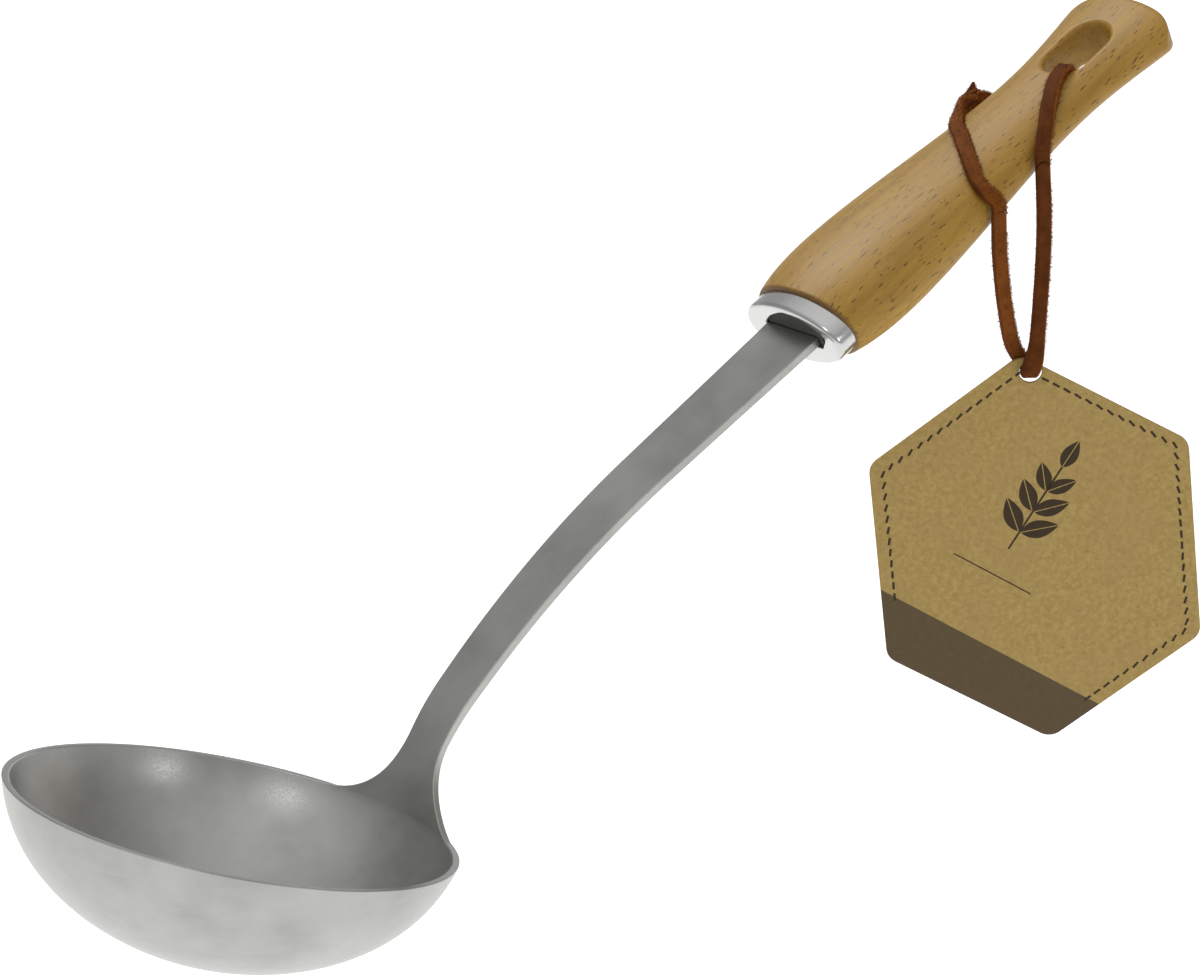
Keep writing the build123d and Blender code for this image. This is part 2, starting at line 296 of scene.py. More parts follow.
strap_route = millimetres(
    (15.35, -15.05, 6.6), (15.6, -14.8, 8.6), (17.4, -13.5, 10.0), (19.6, -12.0, 11.5), (21.9, -10.4, 13.3),
    (24.4, -8.6, 15.0), (27.3, -6.8, 16.7), (30.7, -4.7, 18.3), (33.7, -3.6, 19.6), (36.2, -3.3, 20.3),
    (37.9, -2.9, 16.5), (39.7, -2.0, 12.0), (40.5, -0.4, 8.6), (39.2, 1.8, 7.8), (36.4, 5.0, 7.0),
    (33.1, 8.6, 7.1), (30.5, 12.2, 8.6), (29.0, 15.8, 10.3))
over_route = millimetres(
    (27.4, 16.2, 10.8), (24.8, 16.9, 11.2), (21.5, 15.6, 11.1), (17.9, 12.5, 10.8), (14.0, 9.1, 11.3),
    (10.7, 6.0, 11.4), (8.7, 3.0, 11.3), (5.0, -1.8, 10.2), (2.3, -5.8, 8.8), (0.0, -9.1, 7.3),
    (-1.4, -11.9, 5.7), (-1.6, -14.7, 4.1), (-0.6, -16.85, 2.5), (-0.5, -16.9, 0.4))
drop_route = millimetres(
    (-0.5, -16.9, 0.4), (-0.5, -16.8, -3.5), (-0.3, -16.4, -8.5), (0.5, -16.0, -15.0), (2.0, -15.1, -21.5),
    (4.1, -13.9, -27.5), (6.1, -12.7, -32.5), (8.4, -12.2, -36.6), (10.7, -13.5, -40.0), (7.1, -17.1, -40.2),
    (8.5, -18.0, -35.0), (9.7, -17.6, -30.2), (11.7, -16.7, -24.0), (13.5, -16.0, -16.6), (14.7, -15.6, -8.6),
    (15.2, -15.3, -1.4), (15.35, -15.05, 6.5))

face_normal = Vector((-0.358, 0.0, 0.934))
to_front = Vector((-0.50, -0.86, 0.0))
outward = Vector((-0.45, -0.88, 0.1))
strap_facings = [
    outward, outward, (-0.3, -0.85, 0.3), (-0.25, -0.72, 0.6), (-0.28, -0.5, 0.8), (-0.32, -0.32, 0.89),
    (-0.33, -0.2, 0.92), (-0.35, -0.1, 0.93), face_normal, (0.4, 0.1, 0.9), (0.95, 0.1, 0.3),
    (0.93, 0.1, 0.1), (0.7, 0.0, -0.7), -face_normal, -face_normal, (0.2, 0.5, -0.8), (0.0, 0.8, -0.5),
    (0.0, 1.0, 0.0)]
over_facings = [
    (0.2, -0.6, -0.7), (0.0, -0.9, -0.3), (0.3, -0.8, -0.4), (0.3, -0.6, -0.7), (0.32, -0.38, -0.88),
    (0.3, -0.2, -0.94), (0.3, -0.1, -0.95), (0.29, 0.05, -0.96), (0.29, 0.14, -0.95), (0.26, 0.31, -0.91),
    (0.24, 0.55, -0.80), (0.25, 0.80, -0.45), -outward, -outward]
drop_facings = ([-outward] * 2 + [-to_front] * 5 + [(0.7, 0.6, -0.3), (0.2, -0.2, -1.0), (-0.5, -0.5, -0.7)]
                + [to_front] * 5 + [outward] * 2)
print("control points", len(strap_route), len(over_route), len(drop_route))

# %% [markdown]
# ## Building a strip
# A section with round corners is carried along points that are read from the curve. At
# an end the strip can be cut round, hollow, or torn to a ragged point. Where the loop
# swings, its round end turns inside the hollow end of the fixed strip, so the lace looks
# whole at rest and nothing collides when it swings.

# %% Curve and section
section_corner_share = 0.42   # corner radius of the strip's section, of its thickness
flat_steps = 7                # points across each flat side
seat_gap = 0.00004            # between the loop's round end and the hollow that it turns in
torn_length = 0.0035
torn_share = 0.2              # width left at a torn tip


def curve_points(route, resolution=12):
    """Points read from a NURBS curve with the given control points."""
    curve = bpy.data.curves.new("lace_line", "CURVE")
    curve.dimensions = "3D"
    curve.resolution_u = resolution
    spline = curve.splines.new("NURBS")
    spline.points.add(len(route) - 1)
    for point, place in zip(spline.points, route):
        point.co = (*place, 1.0)
    spline.order_u = 3
    spline.use_endpoint_u = True
    holder = bpy.data.objects.new("lace_line", curve)
    points = [vertex.co.copy() for vertex in bpy.data.meshes.new_from_object(holder).vertices]
    bpy.data.objects.remove(holder)
    return points


def line_length(points):
    return sum((after - before).length for before, after in zip(points, points[1:]))


def facing_at(facings, share):
    """The strip's facing at a share of its control points."""
    place = share * (len(facings) - 1)
    first = min(int(place), len(facings) - 2)
    return Vector(facings[first]).lerp(Vector(facings[first + 1]), place - first).normalized()


def strip_section(width, thickness):
    """Points round a flat section: first the smooth side, then the suede side."""
    corner = thickness * section_corner_share
    half = width / 2 - corner
    rise = thickness / 2 - corner
    right, left = [], []
    for step in range(4):
        angle = math.radians(30 * step)
        right.append((half + corner * math.cos(angle), rise + corner * math.sin(angle)))
        left.append((-half - corner * math.sin(angle), rise + corner * math.cos(angle)))
    flat = [(half - 2 * half * step / flat_steps, thickness / 2) for step in range(1, flat_steps)]
    upper = right + flat + left
    return upper + [(x, -y) for x, y in reversed(upper)]


def round_places(section):
    """Share of the way round at each point of the section, ending at 1."""
    closed = section + section[:1]
    gaps = [math.dist(before, after) for before, after in zip(closed, closed[1:])]
    total = gaps[-1] / 2
    places = []
    for gap in gaps:
        places.append(total)
        total += gap
    return [place / (total - gaps[-1] / 2) for place in places] + [1.0]


def end_shift(kind, across, width):
    """How far a point of the end section moves outward along the strip."""
    half = width / 2
    if kind == "round":
        return math.sqrt(max(half**2 - across**2, 0.0)) - half
    if kind == "hollow":
        return half + seat_gap - math.sqrt((half + seat_gap)**2 - across**2)
    return 0.0


def width_share(kind, run):
    """A torn end narrows to a point."""
    return min(1.0, torn_share + (1 - torn_share) * run / torn_length) if kind == "torn" else 1.0


# %% [markdown]
# The strip stores two things for later. Its UV map is read by the leather finish. The
# attribute "shed" says how many loose fibres each part of the section sheds: most at
# the raw edge, few on the suede. The loop sheds none where it turns or where it is
# crumpled in the tag's hole, so nothing catches when it moves.

# %% Build the strip
edge_shed, dark_edge_shed, suede_shed = 1.0, 0.25, 0.12
quiet_share = 0.3             # from this much crumple or end on, the loop sheds nothing


def shed_at(place):
    if min(place, 1 - place) < edge_share:
        return edge_shed
    return dark_edge_shed if abs(place - 0.5) < edge_share else suede_shed * (place > 0.5)


def strip_mesh(name, points, facings, ends=("flat", "flat"), sides=("smooth", "smooth"), crumpled=None,
               width=lace_width):
    """A closed flat strip along the points, with its smooth side towards the facings."""
    section = strip_section(width, lace_thickness)
    around = round_places(section)
    total = line_length(points)
    shape = bmesh.new()
    along_layer = shape.loops.layers.uv.new("along")
    shed_layer = shape.verts.layers.float.new("shed")
    rings, runs = [], []
    run = 0.0
    for number, point in enumerate(points):
        before = points[max(number - 1, 0)]
        after = points[min(number + 1, len(points) - 1)]
        run += (point - before).length
        tangent = (after - before).normalized()
        facing = facing_at(facings, number / (len(points) - 1))
        across = tangent.cross(facing).normalized()
        normal = across.cross(tangent)
        wide = width_share(ends[0], run) * width_share(ends[1], total - run)
        thick = 1.0
        crumple = 0.0
        if crumpled:
            middle, reach, wider, thicker = crumpled
            crumple = math.exp(-((run / total - middle) / reach)**2)
            wide *= 1 + wider * crumple
            thick += thicker * crumple
        first = max(1 - run / (2 * width), 0.0)
        last = max(1 - (total - run) / (2 * width), 0.0)
        quiet = crumpled and max(crumple, first, last) > quiet_share
        ring = []
        for (x, y), place in zip(section, around):
            shift = last * end_shift(ends[1], x, width) - first * end_shift(ends[0], x, width)
            vertex = shape.verts.new(point + across * x * wide + normal * y * thick + tangent * shift)
            vertex[shed_layer] = 0.0 if quiet else shed_at(place)
            ring.append(vertex)
        rings.append(ring)
        runs.append(run)
    for number, (lower, upper) in enumerate(zip(rings, rings[1:])):
        for step, face in enumerate(join_rows(shape, lower, upper)):
            face.smooth = True
            corners = [(step, number), (step + 1, number), (step + 1, number + 1), (step, number + 1)]
            for loop, (u, v) in zip(face.loops, corners):
                loop[along_layer].uv = (around[u], runs[v])
    count = len(section)
    for ring, side in zip((rings[0], rings[-1]), sides):
        for step in range(count // 2 - 1):
            face = shape.faces.new((ring[step], ring[step + 1],
                                    ring[count - 2 - step], ring[count - 1 - step]))
            for loop in face.loops:
                loop[along_layer].uv = (0.25 if side == "smooth" else 0.75, 0.0)
    return plain_mesh(name, shape)


def add_lace(name, node, route, facings, body, ends, sides, crumpled=None):
    points = curve_points(route)
    piece = add_piece(name, strip_mesh(name, points, facings, ends, sides, crumpled), body, leather)
    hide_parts(node)
    return piece


# %% [markdown]
# Each stretch takes the place of one piece of the construction, which is hidden.

# %% Lay the three stretches
hole_crumple = (0.52, 0.040, 0.25, 0.8)   # where along the loop, over what share, how much wider and thicker
strap = add_lace("lace_through_slot", "lace_strap", strap_route, strap_facings, "ladle",
                 ("hollow", "flat"), ("smooth", "smooth"))
over = add_lace("lace_over_face", "lace_over", over_route, over_facings, "ladle",
                ("flat", "hollow"), ("suede", "suede"))
loop = add_lace("lace_loop", "lace_drop", drop_route, drop_facings, "hanging_loop",
                ("round", "round"), ("suede", "smooth"), hole_crumple)

# %% [markdown]
# ## The knot
# The two strips are tied behind the handle's far edge. What is seen of the knot is a
# turn of the strip drawn tight round the others, a second turn across it, and two torn
# ends that stand up. Each is a short strip of its own, and they are joined in one piece.

# %% Tie the knot
knot_width = 0.0036
toward_camera = Vector((-0.58, -0.70, 0.40))
upward = (0.0, 0.2, 1.0)
turn_route = millimetres((26.9, 16.9, 7.2), (25.4, 17.3, 8.6), (26.0, 17.7, 10.4), (27.8, 17.9, 11.5),
                         (29.7, 18.1, 11.0), (31.3, 18.5, 9.2), (30.5, 19.3, 7.2), (28.3, 19.1, 6.8))
turn_facings = [(-0.5, -0.4, -0.8), (-1.0, -0.2, 0.0), (-0.7, -0.2, 0.7), upward,
                (0.6, 0.2, 0.8), (1.0, 0.3, 0.0), (0.5, 0.5, -0.7), (0.0, 0.5, -0.9)]
cross_route = millimetres((25.1, 17.5, 8.0), (25.9, 16.5, 10.6), (27.8, 16.3, 11.6), (30.3, 16.9, 10.6),
                          (32.1, 18.3, 9.2), (32.1, 20.1, 8.4))
cross_facings = [-toward_camera] * 3 + [(-0.3, 0.5, -0.8), (-0.9, 0.3, -0.3), (-1.0, 0.0, 0.0)]
near_end_route = millimetres((26.5, 17.3, 9.4), (27.5, 16.1, 10.6), (29.3, 15.3, 11.2), (30.8, 14.9, 10.8),
                             (32.1, 14.5, 10.4))
far_end_route = millimetres((27.3, 18.1, 9.2), (27.9, 18.1, 11.0), (28.9, 18.4, 12.4), (29.9, 19.1, 13.4))
knot_strips = [(turn_route, turn_facings, "flat", knot_width),
               (cross_route, cross_facings, "flat", knot_width),
               (near_end_route, [-toward_camera] * 5, "torn", lace_width),
               (far_end_route, [toward_camera] * 4, "torn", lace_width)]


def knot_mesh():
    shape = bmesh.new()
    for route, facings, end, width in knot_strips:
        part = strip_mesh("knot_part", curve_points(route, 8), facings, ("flat", end), width=width)
        shape.from_mesh(part)
        bpy.data.meshes.remove(part)
    return plain_mesh("lace_knot_turns", shape)


knot = add_piece("lace_knot_turns", knot_mesh(), "ladle", leather)
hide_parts("lace_knot")
print("knot faces", len(knot.data.polygons))

# %% [markdown]
# ## Loose fibres
# Suede and cut edges shed short fibres, which soften the lace's outline. A geometry
# group scatters points by the attribute "shed" and puts a thin tapering hair on each,
# leant and turned by random values from a fixed seed. The hairs are then made plain
# mesh. Two helpers open and close such a group: its inputs have names, and it ends by
# making its instances real and giving them a material.

# %% Helpers for geometry groups
def new_group(name, sockets):
    """An empty geometry group with named inputs. Returns its tree and the inputs' sockets."""
    tree = bpy.data.node_groups.new(name, "GeometryNodeTree")
    for label, kind in [("Geometry", "Geometry"), *sockets, ("Material", "Material")]:
        tree.interface.new_socket(label, in_out="INPUT", socket_type="NodeSocket" + kind)
    tree.interface.new_socket("Geometry", in_out="OUTPUT", socket_type="NodeSocketGeometry")
    return tree, tree.nodes.new("NodeGroupInput").outputs


def close_group(tree, given, placing):
    """Set instances on points, make them real, give them the material, and end the group."""
    placed = out(tree, "GeometryNodeInstanceOnPoints", placing)
    real = out(tree, "GeometryNodeRealizeInstances", {"Geometry": placed})
    dressed = out(tree, "GeometryNodeSetMaterial", {"Geometry": real, "Material": given["Material"]})
    tree.links.new(dressed, tree.nodes.new("NodeGroupOutput").inputs["Geometry"])
    return tree


def run_group(piece, tree, values):
    """Run a node group on a piece and return what it makes as a plain mesh."""
    modifier = piece.modifiers.new(tree.name, "NODES")
    modifier.node_group = tree
    for socket in tree.interface.items_tree:
        if socket.item_type == "SOCKET" and socket.in_out == "INPUT" and socket.name in values:
            modifier[socket.identifier] = values[socket.name]
    mesh = bpy.data.meshes.new_from_object(piece.evaluated_get(bpy.context.evaluated_depsgraph_get()))
    piece.modifiers.remove(modifier)
    return mesh


# %% Scatter the fibres
fibre_values = {"Density": 1.1e7, "Length": 0.00065, "Radius": 0.08, "Material": loose_fibre}
fibre_bend = {"Resolution": 3, "Start": (0.0, 0.0, -0.2), "Middle": (0.0, 0.0, 0.5), "End": (0.45, 0.0, 0.9)}
least_lean = (-0.7, -0.7, -3.1)
most_lean = (0.7, 0.7, 3.1)
shortest_share = 0.35
tip_share = 0.25


def fibre_group():
    tree, given = new_group("loose_fibres", [("Density", "Float"), ("Length", "Float"), ("Radius", "Float"),
                                             ("Seed", "Int")])
    shed = out(tree, "GeometryNodeInputNamedAttribute", {"Name": "shed"}, data_type="FLOAT")
    scattered = put(tree, "GeometryNodeDistributePointsOnFaces",
                    {"Mesh": given["Geometry"], "Seed": given["Seed"],
                     "Density": maths(tree, "MULTIPLY", shed, given["Density"])}).outputs
    taper = spread(tree, out(tree, "GeometryNodeSplineParameter"), 0.0, 1.0, 1.0, tip_share)
    hair = out(tree, "GeometryNodeSetCurveRadius",
               {"Curve": out(tree, "GeometryNodeCurveQuadraticBezier", fibre_bend), "Radius": taper})
    ring = out(tree, "GeometryNodeCurvePrimitiveCircle", {"Resolution": 3, "Radius": given["Radius"]})
    solid = out(tree, "GeometryNodeCurveToMesh", {"Curve": hair, "Profile Curve": ring, "Fill Caps": True})
    lean = out(tree, "FunctionNodeRandomValue", {"Min": least_lean, "Max": most_lean, "Seed": given["Seed"]},
               data_type="FLOAT_VECTOR")
    turned_hair = out(tree, "FunctionNodeRotateRotation",
                      {"Rotation": scattered["Rotation"], "Rotate By": lean}, rotation_space="LOCAL")
    size = put(tree, "FunctionNodeRandomValue", {2: shortest_share, 3: 1.0, "Seed": given["Seed"]},
               data_type="FLOAT").outputs[1]
    scale = maths(tree, "MULTIPLY", size, given["Length"])
    return close_group(tree, given, {"Points": scattered["Points"], "Instance": solid,
                                     "Rotation": turned_hair, "Scale": scale})


fibres_tree = fibre_group()
sources = [(strap, "ladle"), (over, "ladle"), (loop, "hanging_loop"), (knot, "ladle")]
for seed, (source, body) in enumerate(sources):
    mesh = run_group(source, fibres_tree, {**fibre_values, "Seed": seed})
    hairs = add_piece(source.name + "_fibres", mesh, body)
    print(hairs.name, len(mesh.polygons), "faces")

# %% [markdown]
# ## The steel pressing
# Bowl and arm are pressed from one sheet, so the bowl's wall runs on into the arm
# without a seam. A revolved bowl and a separate arm would show a joint there. Instead
# the mesh is woven: the columns of the bowl's grid in front of the arm carry on
# up the arm. The inner skin follows in the same way, and one strip of faces closes the
# edge all round. A small bevel then breaks both edges, as tumbling does on real steel.

# %% Sizes of the pressing
rim_tip = math.radians(22.3)  # the ladle is held with its rim tipped this much
bowl_radius = 0.0450
bowl_depth = 0.0293
sheet = 0.0015
arm_sheet = 0.0020
rim_slope = math.radians(76.2)
bottom_reach_share = 0.33
wall_reach_share = 0.774
neck_start_slope = math.radians(92.0)
neck_bend_radius = 0.0467
neck_end_slope = math.radians(58.2)
neck_length = 0.0040
bow_radius = 0.2207
shank_slope = math.radians(43.3)
shank_length = 0.0460
ferrule_length = 0.0048
recess_depth = 0.0008
grip_distance = 0.0450
root_half_width = 0.00515
middle_half_width = 0.0063
end_half_width = 0.0077
root_fillet = 0.0160
root_fillet_rise = 0.0157
hollow_fade_exponent = 1.5
rim_bevel = 0.00032


# %% [markdown]
# The arm's centre line is a chain: a bend at the neck, a short straight, a long bow and
# the straight shank. The arm starts flared at the rim and widens towards the handle.

# %% The arm's centre line
def arc_step(start, heading, new_heading, radius):
    """End of an arc that turns from one heading down to another."""
    return Vector((start.x + radius * (math.sin(heading) - math.sin(new_heading)),
                   start.y + radius * (math.cos(new_heading) - math.cos(heading))))


rim_thickness = sheet / math.sin(rim_slope)
arm_start = Vector((bowl_radius - rim_thickness / 2, 0.0))
bend_end = arc_step(arm_start, neck_start_slope, neck_end_slope, neck_bend_radius)
neck_end = bend_end + neck_length * Vector((math.cos(neck_end_slope), math.sin(neck_end_slope)))
bow_end = arc_step(neck_end, neck_end_slope, shank_slope, bow_radius)
shank_direction = Vector((math.cos(shank_slope), math.sin(shank_slope)))
ferrule_front = bow_end + shank_length * shank_direction
joint_point = ferrule_front + ferrule_length * shank_direction
grip_point = joint_point + grip_distance * shank_direction
bend_length = neck_bend_radius * (neck_start_slope - neck_end_slope)
bow_length = bow_radius * (neck_end_slope - shank_slope)
arm_length = neck_length + bend_length + bow_length + shank_length + recess_depth
as_held = Matrix.Rotation(rim_tip, 4, "Y") @ Matrix.Translation((-grip_point.x, 0.0, -grip_point.y))
print("arm length", round(arm_length * 1000, 1), "mm")


def arm_station(run):
    """Place and heading of the arm's centre line at a run from the rim."""
    if run <= bend_length:
        heading = neck_start_slope - run / neck_bend_radius
        return arc_step(arm_start, neck_start_slope, heading, neck_bend_radius), heading
    run -= bend_length
    if run <= neck_length:
        return bend_end.lerp(neck_end, run / neck_length), neck_end_slope
    run -= neck_length
    if run <= bow_length:
        heading = neck_end_slope - run / bow_radius
        return arc_step(neck_end, neck_end_slope, heading, bow_radius), heading
    return bow_end + (run - bow_length) * shank_direction, shank_slope


def half_width_at(height):
    """Half width of the arm at a height over the rim: a flare, then a long gentle curve."""
    if height < root_fillet_rise:
        drop = root_fillet_rise - height
        return root_half_width + root_fillet - math.sqrt(root_fillet**2 - drop**2)
    share = (height - root_fillet_rise) / (joint_point.y - root_fillet_rise)
    first = 2 * (share - 0.5) * (share - 1) * root_half_width
    second = -4 * share * (share - 1) * middle_half_width
    third = 2 * share * (share - 0.5) * end_half_width
    return first + second + third


# %% [markdown]
# The bowl's profile is a cubic curve from the rim to the middle. The arm's section is
# hollow like the bowl's wall at the root, and flattens up the neck. In the flare the
# rows follow the fillet's own arc, so its edge stays round.

# %% Weave the bowl and the arm into one mesh
arm_columns = 14              # on each side of the middle
bowl_columns = 128            # round the rest of the rim
bowl_rings = 40
flare_rows = 18
arm_rows = 56
level_run = bend_length / 9   # the section turns from level to square over this run


def run_at_height(height):
    """Run along the neck bend at which its centre line reaches a height over the rim."""
    heading = math.acos(height / neck_bend_radius + math.cos(neck_start_slope))
    return neck_bend_radius * (neck_start_slope - heading)


def bulge(radius, across):
    return radius - math.sqrt(radius**2 - across**2) if radius else 0.0


def skin_profile(inset):
    """Profile of one skin of the bowl, from the rim down to the middle."""
    radius = bowl_radius - inset / math.sin(rim_slope)
    depth = bowl_depth - inset
    reach = wall_reach_share * depth
    knots = [Vector((radius, 0.0)),
             Vector((radius - reach * math.cos(rim_slope), -reach * math.sin(rim_slope))),
             Vector((radius * bottom_reach_share, -depth)), Vector((0.0, -depth))]
    points = []
    for number in range(bowl_rings + 1):
        t = number / bowl_rings
        weights = [(1 - t)**3, 3 * (1 - t)**2 * t, 3 * (1 - t) * t**2, t**3]
        points.append(sum((knot * weight for knot, weight in zip(knots, weights)), Vector((0.0, 0.0))))
    return points


def column_turns(radius):
    """Compass angles of the grid's columns, close together in front of the arm."""
    root = half_width_at(0.0)
    near = [math.asin(root * step / arm_columns / radius) for step in range(arm_columns + 1)]
    gap = (2 * math.pi - 2 * near[-1]) / bowl_columns
    rest = [near[-1] + gap * step for step in range(1, bowl_columns)]
    return near + rest + [-turn for turn in reversed(near[1:])]


def arm_row(shape, run, steps, front):
    """One row of points across the arm, on its front or its back skin."""
    centre, heading = arm_station(run)
    share = min(run / bend_length, 1.0)
    hollow = bowl_radius / (1 - share)**hollow_fade_exponent if share < 1 else 0.0
    level = max(1 - run / level_run, 0.0)
    thickness = sheet + (arm_sheet - sheet) * share + (rim_thickness - sheet) * level
    lean = heading + (math.pi / 2 - heading) * level
    normal = Vector((-math.sin(lean), math.cos(lean)))
    row = []
    for step in steps:
        across = half_width_at(centre.y) * step / arm_columns
        if front:
            offset = thickness / 2 + bulge(hollow - thickness if hollow else 0.0, across)
        else:
            offset = -thickness / 2 + bulge(hollow, across)
        place = centre + normal * offset
        row.append(shape.verts.new((place.x, across, place.y)))
    return row


def add_skin(shape, inset, front):
    """Add one skin and return its rim, and the rows of the arm."""
    profile = skin_profile(inset)
    turns = column_turns(profile[0].x)
    rings = [[shape.verts.new((point.x * math.cos(turn), point.x * math.sin(turn), point.y))
              for turn in turns] for point in profile[:-1]]
    middle = shape.verts.new((0.0, 0.0, profile[-1].y))
    for upper, lower in zip(rings, rings[1:]):
        join_rows(shape, upper, lower)
    count = len(turns)
    for step in range(count):
        shape.faces.new((rings[-1][step], rings[-1][(step + 1) % count], middle))
    steps = list(range(-arm_columns, arm_columns + 1))
    flare_start = math.asin(root_fillet_rise / root_fillet)
    flare = [flare_start * (1 - step / flare_rows) for step in range(1, flare_rows + 1)]
    runs = [run_at_height(root_fillet_rise - root_fillet * math.sin(angle)) for angle in flare]
    runs += [runs[-1] + (arm_length - runs[-1]) * step / arm_rows for step in range(1, arm_rows + 1)]
    rows = [[rings[0][step % count] for step in steps]] + [arm_row(shape, run, steps, front) for run in runs]
    for lower, upper in zip(rows, rows[1:]):
        join_rows(shape, lower, upper, closed=False)
    return rings[0], rows


def pressing_mesh():
    shape = bmesh.new()
    outer_rim, outer_rows = add_skin(shape, 0.0, False)
    inner_rim, inner_rows = add_skin(shape, sheet, True)
    free_rim = slice(arm_columns, len(outer_rim) - arm_columns + 1)
    join_rows(shape, outer_rim[free_rim], inner_rim[free_rim], closed=False)
    for side in (0, -1):
        join_rows(shape, [row[side] for row in outer_rows], [row[side] for row in inner_rows], closed=False)
    join_rows(shape, outer_rows[-1], inner_rows[-1], closed=False)
    open_edges = [edge for edge in shape.edges if len(edge.link_faces) != 2]
    print("pressing faces", len(shape.faces), "open edges", len(open_edges))
    mesh = plain_mesh("pressing", shape, math.pi)   # smooth all over: the bevel makes the edges
    mesh.transform(as_held)
    return mesh


# %% [markdown]
# ## Steel
# The ladle was tumbled, not polished: the surface is soft grey, with cloudy patches and
# fine random scratches, and it is a little brighter where it was rubbed. Roughness
# varies with a coarse noise, and a very fine bump breaks up the reflections. The
# ferrule is polished, and the resin in its mouth is dark and dull.

# %% The steel and resin finishes
def tumbled_steel():
    finish, tree, shader = new_finish("tumbled_steel", Metallic=1.0)
    place = own_place(tree)
    clouds = noise(tree, place, 55.0, 5.0, 0.55)
    smears = noise(tree, turned(tree, place, scale=(1.0, 1.0, 4.0)), 130.0, 4.0, 0.6)
    specks = noise(tree, place, 3200.0, 2.0, 0.6)
    tone = toned(tree, clouds, 0.35, 0.65, (0.345, 0.345, 0.33), (0.45, 0.45, 0.432))
    feed(shader, "Base Color", toned(tree, smears, 0.45, 0.75, tone, (0.42, 0.416, 0.40), 0.5))
    feed(shader, "Roughness", maths(tree, "ADD", spread(tree, clouds, 0.3, 0.7, 0.34, 0.44),
                                    spread(tree, specks, 0.3, 0.7, -0.06, 0.06)))
    bump(tree, shader, specks, 0.5, 0.00003)
    return finish


def polished_steel():
    finish, tree, shader = new_finish("polished_steel", Metallic=1.0)
    wipes = noise(tree, turned(tree, own_place(tree), scale=(1.0, 1.0, 6.0)), 500.0, 3.0, 0.6)
    feed(shader, "Base Color", mixed(tree, wipes, (0.50, 0.50, 0.495), (0.60, 0.60, 0.595)))
    feed(shader, "Roughness", spread(tree, wipes, 0.3, 0.7, 0.14, 0.24))
    return finish


def dark_resin():
    finish, tree, shader = new_finish("dark_resin", Roughness=0.7)
    grit = noise(tree, own_place(tree), 1400.0, 3.0, 0.6)
    feed(shader, "Base Color", mixed(tree, grit, (0.035, 0.035, 0.033), (0.08, 0.08, 0.075)))
    bump(tree, shader, grit, 0.4, 0.0002)
    return finish


pressing = add_piece("ladle_pressing", pressing_mesh(), "ladle", tumbled_steel())
edge = pressing.modifiers.new("broken edges", "BEVEL")
edge.width = rim_bevel
edge.segments = 3
edge.limit_method = "ANGLE"
edge.angle_limit = math.radians(45)
edge.harden_normals = True
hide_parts("bowl_and_arm")
finish_node("tang_bed", dark_resin())

# %% [markdown]
# ## The ferrule
# The ferrule is an oval steel ring with a well rounded front edge. Its front face is
# pierced for the arm by a half moon: an arch above the arm, close to the ring's edge,
# and a flat side below it. Both outlines are read along rays from one centre, so their
# points pair up and the faces between them stay regular.

# %% Build the ferrule
ferrule_half_width = 0.0142
ferrule_half_thickness = 0.00735
front_round = 0.0013
round_steps = 6
opening_round = 0.0003
ray_count = 120
oval_points = 360
ray_centre = Vector((-0.0010, 0.0016))
ferrule_crease = math.radians(25)
opening_outline = [   # across the ladle, and out of the face
    (0.0079, -0.0012), (0.0078, 0.0006), (0.0068, 0.0021), (0.0050, 0.0037), (0.0032, 0.0047),
    (0.0015, 0.0054), (0.0000, 0.0057), (-0.0020, 0.0058), (-0.0040, 0.0055), (-0.0060, 0.0049),
    (-0.0080, 0.0039), (-0.0094, 0.0030), (-0.0104, 0.0019), (-0.0100, 0.0009), (-0.0092, -0.0001),
    (-0.0086, -0.0012)]


def handle_place(along, across, rise):
    """World place of a point given in the handle's own directions."""
    flat = joint_point + shank_direction * along
    normal = Vector((-shank_direction.y, shank_direction.x)) * rise
    return as_held @ Vector((flat.x + normal.x, across, flat.y + normal.y))


def ray_to_outline(outline, direction):
    """Where a ray from the centre leaves a closed outline."""
    best = 0.0
    for start, end in zip(outline, outline[1:] + outline[:1]):
        start, run = Vector(start) - ray_centre, Vector(end) - Vector(start)
        cross = direction.x * run.y - direction.y * run.x
        if abs(cross) < 1e-12:
            continue
        reach = (start.x * run.y - start.y * run.x) / cross
        share = (start.x * direction.y - start.y * direction.x) / cross
        if reach > 0 and -1e-6 <= share <= 1 + 1e-6:
            best = max(best, reach)
    return ray_centre + direction * best


def oval_outline(inset):
    turns = [2 * math.pi * step / oval_points for step in range(oval_points)]
    return [((ferrule_half_width - inset) * math.cos(turn), (ferrule_half_thickness - inset) * math.sin(turn))
            for turn in turns]


def ferrule_mesh():
    """Rings of points: up the outside, over the round edge, in to the opening and back."""
    loops = [(0.0, oval_outline(0.0))]
    for step in range(round_steps + 1):
        angle = math.pi / 2 * step / round_steps
        loops.append((-ferrule_length + front_round * (1 - math.sin(angle)),
                      oval_outline(front_round * (1 - math.cos(angle)))))
    wider = [tuple(Vector(point) + (ray_centre - Vector(point)).normalized() * -opening_round)
             for point in opening_outline]
    loops += [(-ferrule_length, wider), (-ferrule_length + opening_round, opening_outline),
              (0.0, opening_outline)]
    shape = bmesh.new()
    rings = []
    for along, outline in loops:
        ring = []
        for step in range(ray_count):
            turn = 2 * math.pi * step / ray_count
            place = ray_to_outline(outline, Vector((math.cos(turn), math.sin(turn))))
            ring.append(shape.verts.new(handle_place(along, place.x, place.y)))
        rings.append(ring)
    for lower, upper in zip(rings, rings[1:] + rings[:1]):
        join_rows(shape, lower, upper)
    return plain_mesh("ferrule_ring", shape, ferrule_crease)


